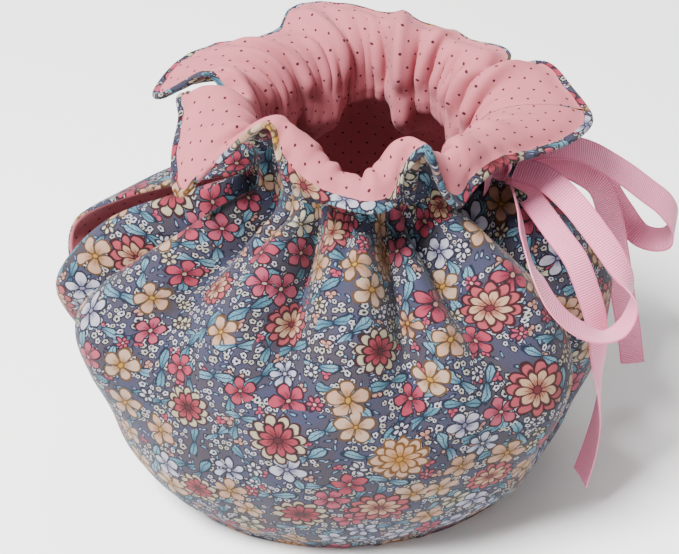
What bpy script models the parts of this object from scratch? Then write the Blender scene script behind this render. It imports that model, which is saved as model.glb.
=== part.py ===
"""Drawstring tea cosy: two padded cloth panels gathered at the neck, with a frill and a ribbon bow.

Metres, +Z up. The cosy stands on its hem at z = 0, with its whole box centred on the Z axis. The
spout slit faces -X and the handle slit +X. An azimuth is in degrees round the neck's own axis:
0 is the front (-Y), 90 the handle side (+X), 180 the back and 270 the spout side.
"""

import math

import bmesh
import bpy
import numpy as np
from mathutils import Vector

MM = 0.001

# Driving dimensions, in millimetres
NECK_AXIS = (-3.8, -0.2)  # where the neck's axis stands, so that the box is centred
CLOTH_THICK = 2.4
NECK_TOP = 129.0
NECK_RADIUS = 39.0
RIBBON_WIDTH = 10.0
RIBBON_THICK = 1.0
SEAM_GAP = 0.22  # half the space left between the two panels where they are sewn
FRILL_GAP = 0.9  # half the space between them at the neck that spreads out to the frill's edge

# Mesh density of one panel
PANEL_COLUMNS = 50
BODY_ROWS = 15
FRILL_ROWS = 8

# Gathering pleats of the whole neck, and how far they stand out from the cloth's middle
PLEATS = 20
PLEAT_DEPTH = 2.3

# One row for each level of the body, from the hem to the top of the casing: its height, its radius
# in eight directions, and half the gap between the panels at each slit.
LEVELS = (
    "height", "front", "front_handle", "handle", "back_handle", "back", "back_spout", "behind_spout",
    "spout", "front_spout", "handle_gap", "spout_gap",
)
BODY = {
    "hem": (0.0, 76.0, 73.5, 71.0, 68.0, 69.0, 72.0, 76.0, 80.0, 85.0, SEAM_GAP, SEAM_GAP),
    "hem_top": (3.0, 76.0, 73.5, 71.0, 68.0, 69.0, 72.0, 76.0, 80.0, 85.0, SEAM_GAP, SEAM_GAP),
    "low": (20.0, 86.0, 85.0, 82.5, 83.0, 85.0, 87.0, 89.0, 91.0, 97.0, SEAM_GAP, SEAM_GAP),
    "under_belly": (41.0, 95.0, 91.0, 92.5, 94.0, 95.0, 94.0, 96.5, 101.0, 103.0, SEAM_GAP, SEAM_GAP),
    "belly": (63.0, 98.0, 94.5, 94.5, 97.0, 98.0, 95.0, 98.0, 113.0, 101.0, 8.0, 6.0),
    "slit": (84.0, 93.0, 92.0, 93.0, 92.0, 94.0, 89.0, 94.0, 114.0, 96.0, 13.0, 14.0),
    "shoulder": (102.0, 77.0, 78.0, 81.0, 79.0, 80.0, 73.0, 79.0, 94.0, 81.0, 9.0, 6.0),
    "gathers": (113.0, 57.0, 57.0, 60.0, 59.0, 60.0, 57.0, 59.0, 62.5, 59.0, 4.0, 3.0),
    "neck": (119.0, 42.0, 42.0, 42.0, 42.0, 42.0, 42.0, 42.0, 42.0, 42.0, SEAM_GAP, SEAM_GAP),
    "casing": (NECK_TOP,) + 9 * (NECK_RADIUS,) + (SEAM_GAP, SEAM_GAP),
}
DIRECTIONS = LEVELS[1:10]
AZIMUTHS = (0.0, 45.0, 90.0, 135.0, 180.0, 225.0, 254.0, 270.0, 315.0)

# One row for each large fold of the body: a valley has a positive depth and a ridge a negative one.
# It runs from one azimuth at the neck to another low down, between two levels of BODY.
FOLDS = ("at_neck", "low_down", "depth", "half_width", "from_level", "to_level")
BODY_FOLDS = {
    "spout_valley": (-73.0, -77.0, 11.0, 5.5, 2.0, 8.4),
    "left_ridge": (-62.0, -62.0, -3.0, 8.0, 3.0, 8.4),
    "left_valley": (-52.0, -47.0, 5.0, 7.0, 4.0, 8.5),
    "front_left_ridge": (-38.0, -31.0, -3.0, 8.0, 4.2, 8.6),
    "front_left_valley": (-25.0, -15.5, 6.0, 6.0, 4.2, 8.6),
    "front_ridge": (-8.0, -2.0, -3.0, 8.0, 4.5, 8.6),
    "front_valley": (11.5, 10.0, 8.0, 5.5, 3.8, 8.6),
    "front_right_ridge": (15.5, 20.0, -4.0, 6.0, 4.0, 8.6),
    "front_right_valley": (20.5, 31.0, 7.0, 5.5, 4.4, 8.6),
    "right_ridge": (40.0, 44.0, -4.0, 9.0, 2.6, 8.6),
    "handle_valley": (59.0, 62.0, 10.0, 6.0, 1.2, 8.0),
    "back_right_valley": (118.0, 126.0, 8.0, 8.0, 3.0, 8.4),
    "back_right_ridge": (138.0, 140.0, -4.0, 10.0, 3.6, 8.4),
    "back_valley": (160.0, 164.0, 7.0, 7.0, 4.0, 8.4),
    "back_ridge": (178.0, 182.0, -4.0, 9.0, 3.6, 8.4),
    "back_left_valley": (200.0, 206.0, 8.0, 7.0, 3.4, 8.4),
    "back_spout_valley": (228.0, 240.0, 10.0, 8.0, 2.0, 8.0),
}

# One row for each fold of the frill, in order round the neck: where the cloth leaves the casing,
# where its edge lies, and how high it stands before it turns over.
FRILL = ("neck_azimuth", "azimuth", "radius", "height", "crest")
FRILL_FOLDS = {
    "front_v": (0.0, 1.0, 59.0, 141.0, 147.0),
    "front_rise": (8.0, 10.0, 55.0, 141.0, 150.0),
    "front_turn": (14.0, 16.0, 49.0, 149.0, 157.0),
    "right_peak": (22.0, 24.5, 53.0, 159.5, 160.5),
    "right_fall": (28.5, 28.5, 54.5, 149.0, 155.0),
    "right_tip": (37.0, 34.0, 57.0, 135.0, 149.0),
    "right_tip_rise": (47.0, 46.0, 55.0, 139.0, 150.0),
    "right_lobe": (59.0, 61.0, 58.0, 141.0, 149.0),
    "right_hollow": (70.0, 74.0, 67.0, 139.0, 148.0),
    "right_low": (79.0, 82.0, 77.0, 140.0, 147.0),
    "right_corner": (87.0, 89.0, 83.0, 142.0, 146.0),
    "right_shoulder": (97.0, 99.0, 78.0, 147.0, 148.0),
    "right_back_tip": (107.0, 111.0, 71.0, 152.0, 153.0),
    "right_back_pinch": (114.0, 111.0, 57.0, 149.0, 152.0),
    "back_right_lobe": (121.0, 117.0, 62.0, 153.0, 154.0),
    "back_right": (134.0, 133.0, 60.0, 152.0, 153.0),
    "back_right_mid": (146.0, 149.0, 58.0, 152.0, 154.0),
    "back_nip": (158.0, 163.0, 56.0, 153.0, 154.0),
    "back_lobe": (178.0, 188.0, 66.0, 154.0, 155.0),
    "back_left_corner": (189.0, 199.0, 72.0, 152.0, 154.0),
    "back_left_pinch": (205.0, 216.0, 61.0, 150.0, 152.0),
    "left_back_lobe": (220.0, 234.0, 67.0, 150.5, 153.0),
    "left_shoulder": (234.0, 247.0, 76.5, 148.5, 152.0),
    "left_tip": (246.0, 260.0, 79.0, 143.0, 149.0),
    "left_fold": (257.0, 261.0, 58.0, 155.0, 157.0),
    "left_nick": (266.0, 268.0, 50.0, 147.0, 150.0),
    "left_nick_front": (273.0, 278.0, 54.0, 149.0, 153.0),
    "left_flap": (279.0, 276.0, 67.0, 156.0, 159.0),
    "left_flap_low": (284.0, 281.0, 67.0, 150.0, 157.0),
    "left_lobe": (292.0, 292.0, 73.0, 142.0, 153.0),
    "left_low_tip": (301.0, 301.0, 76.0, 134.0, 150.0),
    "left_rise": (310.0, 303.0, 64.0, 144.0, 155.0),
    "left_peak": (324.0, 320.0, 51.0, 162.0, 164.0),
    "front_left": (332.0, 326.0, 53.0, 151.0, 158.0),
    "front_left_low": (343.0, 340.0, 55.0, 143.0, 151.0),
    "front_lobe_left": (352.0, 351.0, 56.0, 141.0, 147.0),
}

# One row for each point of a ribbon's middle line, and the way that its face looks there.
RIBBON = ("x", "y", "z", "face_azimuth", "face_elevation")
FRONT_LOOP = (
    (55.5, -5.5, 124.0, 5.0, 58.0),
    (66.0, -10.0, 122.5, 5.0, 50.0),
    (75.0, -16.0, 117.0, 10.0, 47.0),
    (83.0, -24.0, 110.0, 18.0, 42.0),
    (90.5, -32.0, 102.0, 30.0, 35.0),
    (95.5, -38.0, 94.5, 60.0, 12.0),
    (95.5, -46.0, 88.5, 97.0, -25.0),
    (90.0, -54.0, 86.0, 101.0, -58.0),
    (82.0, -60.0, 89.5, 150.0, -86.0),
    (73.0, -62.0, 95.5, 258.0, -58.0),
    (65.0, -61.0, 104.0, 256.0, -42.0),
    (59.5, -54.0, 112.0, 256.0, -28.0),
    (56.5, -40.0, 115.0, 255.0, -18.0),
    (55.5, -27.0, 119.0, 255.0, -12.0),
    (53.0, -14.5, 124.0, 258.0, -10.0),
)
BACK_LOOP = (
    (56.0, 3.5, 125.0, 0.0, 62.0),
    (68.0, 6.0, 126.0, 0.0, 58.0),
    (81.0, 8.5, 123.0, 5.0, 55.0),
    (96.0, 11.0, 113.0, 10.0, 50.0),
    (108.5, 13.0, 102.0, 15.0, 45.0),
    (117.0, 14.0, 94.0, 35.0, 32.0),
    (122.0, 16.0, 84.0, 72.0, 0.0),
    (120.0, 20.0, 74.0, 135.0, -45.0),
    (112.0, 28.0, 70.0, 172.0, -50.0),
    (104.0, 34.0, 78.0, 178.0, -42.0),
    (96.0, 36.5, 90.0, 180.0, -40.0),
    (86.0, 34.0, 104.5, 185.0, -60.0),
    (71.0, 20.5, 119.5, 195.0, -72.0),
    (55.5, 8.5, 121.2, 205.0, -76.0),
)
FRONT_TAIL = (
    (56.5, -5.0, 118.6, 20.0, 68.0),
    (62.5, -17.0, 115.6, 25.0, 55.0),
    (69.5, -30.0, 111.5, 28.0, 42.0),
    (75.0, -39.0, 107.5, 31.0, 32.0),
    (79.5, -46.0, 98.5, 34.0, 24.0),
    (83.0, -50.5, 88.0, 38.0, 15.0),
    (84.5, -54.0, 76.0, 50.0, 8.0),
    (86.0, -54.5, 62.0, 76.0, 0.0),
    (87.0, -53.0, 44.0, 96.0, 0.0),
    (85.5, -54.0, 30.0, 107.0, 0.0),
    (82.5, -56.0, 15.5, 114.0, -5.0),
)
BACK_TAIL = (
    (56.0, 15.0, 118.2, 60.0, 68.0),
    (68.0, 19.0, 113.0, 45.0, 62.0),
    (80.0, 20.5, 107.0, 25.0, 52.0),
    (90.5, 21.0, 100.0, 22.0, 25.0),
    (97.0, 21.0, 85.0, 15.0, 15.0),
    (101.5, 19.5, 67.0, 10.0, 10.0),
    (105.5, 17.5, 48.0, 10.0, 10.0),
    (110.0, 15.5, 28.0, 10.0, 10.0),
    (112.5, 14.0, 14.0, 10.0, 10.0),
)
FRONT_LEAD = (
    (46.3, -9.4, 126.0, 80.0, 0.0),
    (45.0, -14.0, 126.0, 74.0, 0.0),
    (43.0, -19.0, 126.0, 67.0, 0.0),
)
BACK_LEAD = (
    (46.3, 7.4, 126.0, 98.0, 0.0),
    (45.3, 12.0, 126.0, 104.0, 0.0),
    (43.6, 17.0, 126.0, 111.0, 0.0),
)
RIBBON_STEP = 5.0  # spacing of the ribbon's cross rows
KNOT_CENTRE = (49.4, -1.0, 124.8)
KNOT_SIZE = (9.0, 15.0, 11.0)

# Materials: colour, roughness
MATERIALS = {
    "cotton": ((0.16, 0.17, 0.24), 0.85),
    "ribbon": ((0.72, 0.33, 0.45), 0.55),
}


def clear_scene():
    for obj in list(bpy.data.objects):
        bpy.data.objects.remove(obj, do_unlink=True)


def new_material(name):
    colour, roughness = MATERIALS[name]
    material = bpy.data.materials.new(name)
    material.use_nodes = True
    shader = material.node_tree.nodes["Principled BSDF"]
    shader.inputs["Base Color"].default_value = (*colour, 1.0)
    shader.inputs["Roughness"].default_value = roughness
    shader.inputs["Metallic"].default_value = 0.0
    return material


def column(table, names, wanted):
    """One named column of a table as an array."""
    return np.array([row[names.index(wanted)] for row in table.values()])


def smooth_step(low, high, value):
    share = np.clip((value - low) / (high - low), 0.0, 1.0)
    return share * share * (3.0 - 2.0 * share)


def hermite(knots, values, at):
    """A smooth curve through values at rising knots; values may have further axes."""
    knots = np.asarray(knots, float)
    values = np.asarray(values, float)
    at = np.asarray(at, float)
    spread = knots.reshape((-1,) + (1,) * (values.ndim - 1))
    slopes = np.gradient(values, knots, axis=0, edge_order=1)
    low = np.clip(np.searchsorted(knots, at, side="right") - 1, 0, len(knots) - 2)
    span = spread[low + 1] - spread[low]
    share = (at.reshape((-1,) + (1,) * (values.ndim - 1)) - spread[low]) / span
    square, cube = share**2, share**3
    start = (2 * cube - 3 * square + 1) * values[low] + (cube - 2 * square + share) * span * slopes[low]
    end = (3 * square - 2 * cube) * values[low + 1] + (cube - square) * span * slopes[low + 1]
    return start + end


def closed_hermite(knots, values, at, period=360.0):
    """The same round a closed loop, with knots in degrees."""
    knots = np.asarray(knots, float)
    values = np.asarray(values, float)
    turns = np.concatenate([knots - period, knots, knots + period])
    repeated = np.concatenate([values, values, values])
    return hermite(turns, repeated, np.mod(at, period))


def level_radius(azimuth):
    """The radius of every body level at each azimuth: levels x azimuths."""
    by_direction = np.array([column(BODY, LEVELS, name) for name in DIRECTIONS])
    return closed_hermite(AZIMUTHS, by_direction, azimuth).T


def panel_azimuth(across, centre, radius, low_gap, high_gap):
    """Azimuth of a panel's columns: across runs from -1 to 1 between its two side edges."""
    edge = np.where(across < 0, low_gap, high_gap) / radius
    return centre + 90.0 * across - np.degrees(edge) * np.sign(across) * np.abs(across) ** 3


def fold_depth(azimuth, level):
    """How far the large folds push the body's cloth inwards, in millimetres."""
    depth = np.zeros_like(azimuth)
    for at_neck, low_down, deep, half_width, from_level, to_level in BODY_FOLDS.values():
        share = np.clip((level - from_level) / (to_level - from_level), 0.0, 1.0)
        middle = low_down + (at_neck - low_down) * share
        away = np.mod(azimuth - middle + 180.0, 360.0) - 180.0
        width = half_width * (1.5 - 0.5 * share)
        strength = smooth_step(from_level, from_level + 2.0, level)
        strength = strength * (1.0 - 0.75 * smooth_step(6.6, 8.2, level))
        depth += deep * strength * np.exp(-np.abs(away / width) ** 1.6)
    return depth


def pleat_wave(neck_azimuth):
    """The gathers round the neck, from -1 to 1, uneven in width and depth."""
    turn = np.radians(neck_azimuth)
    drift = 0.9 * np.sin(3 * turn + 1.0) + 0.6 * np.sin(5 * turn + 2.2)
    uneven = 0.75 + 0.25 * np.sin(7 * turn + 0.6)
    return uneven * np.sin(PLEATS * turn + drift)


def normals_of(points):
    along = np.gradient(points, axis=1)
    up = np.gradient(points, axis=0)
    normal = np.cross(along, up)
    return normal / np.linalg.norm(normal, axis=2, keepdims=True)


def frill_edge(neck_azimuth):
    """Where the frill's edge lies, and its crest, for cloth that leaves the neck at each azimuth."""
    azimuth = np.radians(column(FRILL_FOLDS, FRILL, "azimuth"))
    radius = column(FRILL_FOLDS, FRILL, "radius")
    height = column(FRILL_FOLDS, FRILL, "height")
    edge = np.stack([radius * np.sin(azimuth), -radius * np.cos(azimuth), height], axis=1)
    placed = np.concatenate([edge, column(FRILL_FOLDS, FRILL, "crest")[:, None]], axis=1)
    found = closed_hermite(column(FRILL_FOLDS, FRILL, "neck_azimuth"), placed, neck_azimuth)
    return found[:, :3], found[:, 3]


def rise_to_crest(foot, edge, crest):
    """How far above its foot a frill's curve is drawn, to stand as high as its crest."""
    climb = np.maximum(crest - foot, edge - foot + 0.5)
    return climb + np.sqrt(climb * (climb - (edge - foot)))


def panel_points(centre, low_gap, high_gap, across, body_rows, frill_rows):
    """The middle surface of one panel: rows from the hem to the frill's edge, by columns, in mm."""
    level = np.concatenate([[0.0], np.linspace(1.0, len(BODY) - 1.0, body_rows)])
    level_index = np.arange(len(BODY))
    first = centre + 90.0 * across
    radius = hermite(level_index, level_radius(first), level)
    height = hermite(level_index, column(BODY, LEVELS, "height"), level)
    low = np.clip(hermite(level_index, column(BODY, LEVELS, low_gap), level), SEAM_GAP, None)
    high = np.clip(hermite(level_index, column(BODY, LEVELS, high_gap), level), SEAM_GAP, None)
    azimuth = panel_azimuth(across[None, :], centre, radius, low[:, None], high[:, None])
    turn = np.radians(azimuth)
    height = np.broadcast_to(height[:, None], radius.shape)
    body = np.stack([radius * np.sin(turn), -radius * np.cos(turn), height], axis=2)

    level = np.broadcast_to(level[:, None], radius.shape)
    inwards = fold_depth(azimuth, level)
    outwards = PLEAT_DEPTH * pleat_wave(azimuth) * smooth_step(5.0, 7.6, level)
    # The hem and the sewn side edges stay where the levels put them.
    held = smooth_step(1.0, 2.6, level) * smooth_step(0.0, 0.12, 1.0 - np.abs(across))[None, :]
    push = (outwards - inwards) * held
    body = body + normals_of(body) * push[..., None] * np.array([1.0, 1.0, 0.6])

    share = np.linspace(0.0, 1.0, frill_rows + 1)[1:, None, None]
    foot = body[-1][None]
    leaving = panel_azimuth(across, centre, NECK_RADIUS, FRILL_GAP, FRILL_GAP)
    edge, crest = frill_edge(leaving)
    rise = rise_to_crest(body[-1, :, 2], edge[:, 2], crest)
    control = foot + np.stack([0.0 * rise, 0.0 * rise, rise], axis=1)[None]
    frill = (1 - share) ** 2 * foot + 2 * share * (1 - share) * control + share**2 * edge[None]
    ripple = 0.9 * PLEAT_DEPTH * pleat_wave(azimuth[-1])[None, :] * (1 - share[..., 0]) ** 1.5
    ripple = ripple * smooth_step(0.0, 0.12, share[..., 0])
    ripple = ripple * smooth_step(0.0, 0.12, 1.0 - np.abs(across))[None, :]
    frill = frill + normals_of(frill) * ripple[..., None]
    return np.concatenate([body, frill])


def surface_object(name, points, thick, material, collection):
    """A sheet from a grid whose points are moved into place, with its thickness from Solidify."""
    rows, columns = points.shape[:2]
    axis = Vector((*NECK_AXIS, 0.0)) * MM
    grid = bmesh.new()
    bmesh.ops.create_grid(grid, x_segments=columns - 1, y_segments=rows - 1, size=1.0)
    for vertex in grid.verts:
        i = round((vertex.co.y + 1.0) / 2.0 * (rows - 1))
        j = round((vertex.co.x + 1.0) / 2.0 * (columns - 1))
        vertex.co = Vector(points[i, j] * MM) + axis
    mesh = bpy.data.meshes.new(name)
    grid.to_mesh(mesh)
    grid.free()
    mesh.shade_smooth()
    mesh.materials.append(material)
    obj = bpy.data.objects.new(name, mesh)
    collection.objects.link(obj)
    solidify = obj.modifiers.new("Thickness", "SOLIDIFY")
    solidify.thickness = thick * MM
    solidify.offset = 0.0
    return obj


def ribbon_points(path):
    """Both edges of a ribbon along its path: cross rows by two columns, in mm."""
    table = np.array(path)
    lengths = np.linalg.norm(np.diff(table[:, :3], axis=0), axis=1)
    along = np.concatenate([[0.0], np.cumsum(lengths)])
    faces = np.radians(np.unwrap(table[:, 3], period=360.0))
    tilts = np.radians(table[:, 4])
    facing = np.stack([np.sin(faces) * np.cos(tilts), -np.cos(faces) * np.cos(tilts), np.sin(tilts)], axis=1)
    rows = max(4, round(along[-1] / RIBBON_STEP))
    at = np.linspace(0.0, along[-1], rows + 1)
    line = hermite(along, table[:, :3], at)
    facing = hermite(along, facing, at)
    tangent = np.gradient(line, axis=0)
    side = np.cross(tangent, facing)
    side = side / np.linalg.norm(side, axis=1, keepdims=True)
    return np.stack([line - side * RIBBON_WIDTH / 2, line + side * RIBBON_WIDTH / 2], axis=1)


def knot(material, collection):
    ball = bmesh.new()
    bmesh.ops.create_uvsphere(ball, u_segments=14, v_segments=9, radius=0.5)
    bmesh.ops.scale(ball, vec=Vector(KNOT_SIZE) * MM, verts=ball.verts)
    mesh = bpy.data.meshes.new("ribbon_knot")
    ball.to_mesh(mesh)
    ball.free()
    mesh.shade_smooth()
    mesh.materials.append(material)
    obj = bpy.data.objects.new("ribbon_knot", mesh)
    obj.location = (Vector(KNOT_CENTRE) + Vector((*NECK_AXIS, 0.0))) * MM
    collection.objects.link(obj)


def build():
    clear_scene()
    collection = bpy.data.collections.new("tea_cosy")
    bpy.context.scene.collection.children.link(collection)
    cotton = new_material("cotton")
    satin = new_material("ribbon")
    across = np.linspace(-1.0, 1.0, PANEL_COLUMNS + 1)
    panels = {
        "front_panel": (0.0, "spout_gap", "handle_gap"),
        "back_panel": (180.0, "handle_gap", "spout_gap"),
    }
    for name, (centre, low_gap, high_gap) in panels.items():
        points = panel_points(centre, low_gap, high_gap, across, BODY_ROWS, FRILL_ROWS)
        surface_object(name, points, CLOTH_THICK, cotton, collection)
    ribbons = {
        "ribbon_loop_front": FRONT_LOOP,
        "ribbon_loop_back": BACK_LOOP,
        "ribbon_tail_front": FRONT_TAIL,
        "ribbon_tail_back": BACK_TAIL,
        "ribbon_lead_front": FRONT_LEAD,
        "ribbon_lead_back": BACK_LEAD,
    }
    for name, path in ribbons.items():
        surface_object(name, ribbon_points(path), RIBBON_THICK, satin, collection)
    knot(satin, collection)


build()
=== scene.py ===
"""The drawstring tea cosy's looks: gathered printed cotton with a dotted lining, and a ribbon bow.

Sizes are in millimetres up to the point where a mesh is made. An azimuth is in degrees round the
neck's own axis: 0 is the front (-Y), 90 the handle side (+X), 180 the back, 270 the spout side.
"""

import math

import bmesh
import bpy
import numpy as np
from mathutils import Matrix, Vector


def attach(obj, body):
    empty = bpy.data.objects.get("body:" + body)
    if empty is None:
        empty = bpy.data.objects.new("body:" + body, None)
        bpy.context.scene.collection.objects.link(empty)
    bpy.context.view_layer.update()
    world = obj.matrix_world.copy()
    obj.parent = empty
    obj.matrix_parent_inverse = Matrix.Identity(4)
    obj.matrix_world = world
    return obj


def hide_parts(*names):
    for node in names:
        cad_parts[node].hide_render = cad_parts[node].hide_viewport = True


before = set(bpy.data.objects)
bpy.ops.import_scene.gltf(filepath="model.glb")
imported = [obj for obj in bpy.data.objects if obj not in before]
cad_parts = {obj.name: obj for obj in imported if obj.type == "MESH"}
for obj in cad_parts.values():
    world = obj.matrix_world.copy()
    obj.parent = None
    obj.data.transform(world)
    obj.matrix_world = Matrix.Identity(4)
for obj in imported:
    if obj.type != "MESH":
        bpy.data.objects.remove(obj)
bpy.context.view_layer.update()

MM = 0.001

# The cosy's own sizes, as in the part
NECK_AXIS = (-3.8, -0.2)
NECK_TOP = 129.0
NECK_RADIUS = 39.0
RIBBON_WIDTH = 10.0
SEAM_GAP = 0.01  # closer than in the part, so that no light shows through a seam
PLEATS = 20
PLEAT_DEPTH = 2.3

# What the cloth adds to the part's folds
CLOTH_THICK = 2.2  # outer cloth, thin padding and lining together
EDGE_ROUND = 0.9  # how far from an edge the padding thins to a rounded rim
SEAM_ROUND = 0.3  # the same beside a seam, where the two panels hold each other
CURL_WIDTH = 9.0  # the frill's outermost cloth, which turns up a little
CURL_DEPTH = 1.3
NECK_PUFF = 2.5  # how far the gathers swell out below the casing
FOLD_STRENGTH = 1.6  # how much deeper the large folds are than their table says
LEAST_RADIUS = 37.5  # no fold reaches in past this
HEM_LIFT = 0.6  # so that the hem's rounded edge stands on the floor
BODY_ROWS = 105
FRILL_ROWS = 46
PANEL_COLUMNS = 263
EASING_ROUNDS = 2
# Rows of the frill's rolled rim, as shares of the rim's width that are left to the edge
RIM_ROWS = (1.0, 0.8, 0.6, 0.4, 0.24, 0.1, 0.0)
CHART_STEP = 4  # every fourth row and column carries the flat pattern's relaxation
CHART_ROUNDS = 900
CHART_PACE = 1.6  # how much of its mean pull each point follows in a round
CHART_SIZE = 500.0  # millimetres of cloth across the whole of a UV square
FRILL_CHART_UP = 190.0  # the frill's pattern lies this far above the body's

RIBBON_THICK = 0.5
RIBBON_STEP = 1.2  # from one row of a ribbon to the next
RIBBON_POINTS = 9
RIBBON_CUP = 0.35  # how far a ribbon's middle stands above its sides
SLANT_RUN = 14.0  # the length of ribbon over which its rows turn to a slanted end

LEVELS = (
    "height", "front", "front_handle", "handle", "back_handle", "back", "back_spout",
    "behind_spout", "spout", "front_spout", "handle_gap", "spout_gap",
)
BODY = {
    "hem": (0.0, 76.0, 73.5, 71.0, 68.0, 69.0, 72.0, 76.0, 80.0, 85.0, SEAM_GAP, SEAM_GAP),
    "hem_top": (3.0, 76.0, 73.5, 71.0, 68.0, 69.0, 72.0, 76.0, 80.0, 85.0, SEAM_GAP, SEAM_GAP),
    "low": (20.0, 86.0, 85.0, 82.5, 83.0, 85.0, 87.0, 89.0, 91.0, 97.0, SEAM_GAP, SEAM_GAP),
    "under_belly": (41.0, 95.0, 91.0, 92.5, 94.0, 95.0, 94.0, 96.5, 101.0, 103.0, SEAM_GAP, SEAM_GAP),
    "belly": (63.0, 98.0, 94.5, 94.5, 97.0, 98.0, 95.0, 98.0, 113.0, 101.0, 8.0, 6.0),
    "slit": (84.0, 93.0, 92.0, 93.0, 92.0, 94.0, 89.0, 94.0, 114.0, 96.0, 13.0, 14.0),
    "shoulder": (102.0, 77.0, 78.0, 81.0, 79.0, 80.0, 73.0, 79.0, 94.0, 81.0, 9.0, 6.0),
    "gathers": (113.0, 57.0, 57.0, 60.0, 59.0, 60.0, 57.0, 59.0, 62.5, 59.0, 4.0, 3.0),
    "neck": (119.0, 42.0, 42.0, 42.0, 42.0, 42.0, 42.0, 42.0, 42.0, 42.0, SEAM_GAP, SEAM_GAP),
    "casing": (NECK_TOP,) + 9 * (NECK_RADIUS,) + (SEAM_GAP, SEAM_GAP),
}
DIRECTIONS = LEVELS[1:10]
AZIMUTHS = (0.0, 45.0, 90.0, 135.0, 180.0, 225.0, 254.0, 270.0, 315.0)

# One row for each large fold of the body: its azimuth at the neck and low down, its depth, its
# half width, and the levels that it runs from and to. A ridge has a negative depth.
BODY_FOLDS = {
    "spout_valley": (-73.0, -77.0, 11.0, 5.5, 2.0, 8.4),
    "left_ridge": (-62.0, -62.0, -3.0, 8.0, 3.0, 8.4),
    "left_valley": (-52.0, -47.0, 5.0, 7.0, 4.0, 8.5),
    "front_left_ridge": (-38.0, -31.0, -3.0, 8.0, 4.2, 8.6),
    "front_left_valley": (-25.0, -15.5, 6.0, 6.0, 4.2, 8.6),
    "front_ridge": (-8.0, -2.0, -3.0, 8.0, 4.5, 8.6),
    "front_valley": (11.5, 10.0, 8.0, 5.5, 3.8, 8.6),
    "front_right_ridge": (15.5, 20.0, -4.0, 6.0, 4.0, 8.6),
    "front_right_valley": (20.5, 31.0, 7.0, 5.5, 4.4, 8.6),
    "right_ridge": (40.0, 44.0, -4.0, 9.0, 2.6, 8.6),
    "handle_valley": (59.0, 62.0, 10.0, 6.0, 1.2, 8.0),
    "back_right_valley": (118.0, 126.0, 8.0, 8.0, 3.0, 8.4),
    "back_right_ridge": (138.0, 140.0, -4.0, 10.0, 3.6, 8.4),
    "back_valley": (160.0, 164.0, 7.0, 7.0, 4.0, 8.4),
    "back_ridge": (178.0, 182.0, -4.0, 9.0, 3.6, 8.4),
    "back_left_valley": (200.0, 206.0, 8.0, 7.0, 3.4, 8.4),
    "back_spout_valley": (228.0, 240.0, 10.0, 8.0, 2.0, 8.0),
}

# One row for each fold of the frill: where the cloth leaves the casing, and where its edge lies
FRILL = ("neck_azimuth", "azimuth", "radius", "height", "crest")
FRILL_FOLDS = {
    "front_v": (0.0, 1.0, 59.0, 141.0, 147.0),
    "front_rise": (8.0, 10.0, 55.0, 141.0, 150.0),
    "front_turn": (14.0, 16.0, 49.0, 149.0, 157.0),
    "right_peak": (22.0, 24.5, 53.0, 159.5, 160.5),
    "right_fall": (28.5, 28.5, 54.5, 149.0, 155.0),
    "right_tip": (37.0, 34.0, 57.0, 135.0, 149.0),
    "right_tip_rise": (47.0, 46.0, 55.0, 139.0, 150.0),
    "right_lobe": (59.0, 61.0, 58.0, 141.0, 149.0),
    "right_hollow": (70.0, 74.0, 67.0, 139.0, 148.0),
    "right_low": (79.0, 82.0, 77.0, 140.0, 147.0),
    "right_corner": (87.0, 89.0, 83.0, 142.0, 146.0),
    "right_shoulder": (97.0, 99.0, 78.0, 147.0, 148.0),
    "right_back_tip": (107.0, 111.0, 71.0, 152.0, 153.0),
    "right_back_pinch": (114.0, 111.0, 57.0, 149.0, 152.0),
    "back_right_lobe": (121.0, 117.0, 62.0, 153.0, 154.0),
    "back_right": (134.0, 133.0, 60.0, 152.0, 153.0),
    "back_right_mid": (146.0, 149.0, 58.0, 152.0, 154.0),
    "back_nip": (158.0, 163.0, 56.0, 153.0, 154.0),
    "back_lobe": (178.0, 188.0, 66.0, 154.0, 155.0),
    "back_left_corner": (189.0, 199.0, 72.0, 152.0, 154.0),
    "back_left_pinch": (205.0, 216.0, 61.0, 150.0, 152.0),
    "left_back_lobe": (220.0, 234.0, 67.0, 150.5, 153.0),
    "left_shoulder": (234.0, 247.0, 76.5, 148.5, 152.0),
    "left_tip": (246.0, 260.0, 79.0, 143.0, 149.0),
    "left_fold": (257.0, 261.0, 58.0, 155.0, 157.0),
    "left_nick": (266.0, 268.0, 50.0, 147.0, 150.0),
    "left_nick_front": (273.0, 278.0, 54.0, 149.0, 153.0),
    "left_flap": (279.0, 276.0, 67.0, 156.0, 159.0),
    "left_flap_low": (284.0, 281.0, 67.0, 150.0, 157.0),
    "left_lobe": (292.0, 292.0, 73.0, 142.0, 153.0),
    "left_low_tip": (301.0, 301.0, 76.0, 134.0, 150.0),
    "left_rise": (310.0, 303.0, 64.0, 144.0, 155.0),
    "left_peak": (324.0, 320.0, 51.0, 162.0, 164.0),
    "front_left": (332.0, 326.0, 53.0, 151.0, 158.0),
    "front_left_low": (343.0, 340.0, 55.0, 143.0, 151.0),
    "front_lobe_left": (352.0, 351.0, 56.0, 141.0, 147.0),
}

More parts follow.
